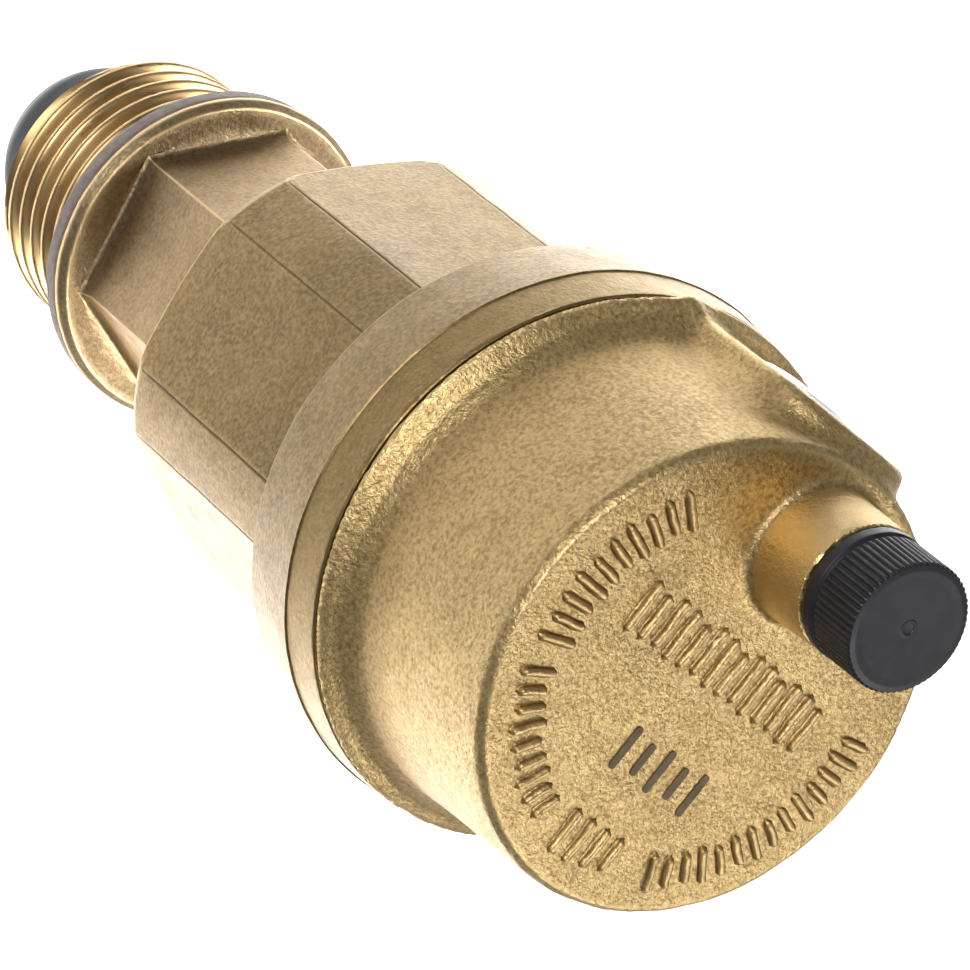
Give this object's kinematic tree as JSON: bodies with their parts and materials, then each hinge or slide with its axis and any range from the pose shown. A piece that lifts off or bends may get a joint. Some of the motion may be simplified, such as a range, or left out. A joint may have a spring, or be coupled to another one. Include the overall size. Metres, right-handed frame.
{
  "type": "automatic air vent",
  "caption": "Float-operated automatic air vent in cast brass with ribbed vent cap, side plug and a screw-in shut-off adapter with a male pipe thread.",
  "frame": {"origin": "centre of the inlet's sealing face, the underside of the adapter's gasket, on the vent's axis", "axes": "+Z along the axis from the inlet thread up to the cast top face, +X towards the vent cap and the side pad"},
  "size_m": [0.0392, 0.0392, 0.1022],
  "materials": {
    "brass_cast": "blasted casting",
    "brass_adapter": "blasted forging, dull",
    "brass_turned": "turned",
    "steel": "bright",
    "plastic_black": "moulded satin",
    "plastic_white": "moulded satin",
    "rubber_black": "smooth",
    "gasket_grey": "matt fibre and rubber sheet"
  },
  "bodies": {
    "adapter": {"shutoff_body": "brass_adapter", "collar_gasket": "gasket_grey", "plunger_spring": "steel"},
    "plunger": {"shutoff_plunger": "plastic_black", "plunger_seal": "rubber_black", "plunger_retainer": "steel"},
    "vent_ring": {"adapter_o_ring": "rubber_black"},
    "vent": {"vent_body": "brass_cast", "cover": "brass_cast", "cover_o_ring": "rubber_black", "side_plug": "steel", "baffle_disc": "plastic_white", "valve_seat": "brass_turned", "vent_nipple": "brass_turned", "lever_bracket": "steel", "bracket_screw": "steel", "lever_pin": "steel"},
    "float": {"float_shell": "plastic_white", "float_lid": "plastic_white", "float_link": "steel"},
    "lever": {"lever": "steel", "valve_pad": "rubber_black"},
    "cap_disc": {"cap_seal": "rubber_black"},
    "cap": {"vent_cap": "plastic_black"}
  },
  "joints": [
    {"name": "vent_lift", "type": "slide", "parent": "adapter", "child": "vent_ring", "axis": [0, 0, 1], "range_m": [0, 0.00267]},
    {"name": "vent_turn", "type": "hinge", "parent": "vent_ring", "child": "vent", "pos_m": [0, 0, 0.017], "axis": [0, 0, 1], "range_deg": [0, 720]},
    {"name": "plunger_slide", "type": "slide", "parent": "adapter", "child": "plunger", "axis": [0, 0, 1], "range_m": [0, 0.00267], "deforming": ["plunger_spring"]},
    {"name": "float_rise", "type": "slide", "parent": "vent", "child": "float", "axis": [0, 0, 1], "range_m": [0, 0.0027]},
    {"name": "lever_swing", "type": "hinge", "parent": "vent", "child": "lever", "pos_m": [0.0048, 0, 0.057], "axis": [0, 1, 0], "range_deg": [0, 28]},
    {"name": "cap_lift", "type": "slide", "parent": "vent", "child": "cap_disc", "axis": [0, 0, 1], "range_m": [0, 0.0015]},
    {"name": "cap_turn", "type": "hinge", "parent": "cap_disc", "child": "cap", "pos_m": [0.0103, 0, 0.0765], "axis": [0, 0, 1], "range_deg": [0, 540]}
  ],
  "couplings": [
    {"joint": "vent_turn", "follows": "vent_lift", "rad_per_m": 4699.5},
    {"joint": "plunger_slide", "follows": "vent_lift", "ratio": 1},
    {"joint": "lever_swing", "follows": "float_rise", "rad_per_m": 180.9},
    {"joint": "cap_turn", "follows": "cap_lift", "rad_per_m": 6283.2}
  ]
}
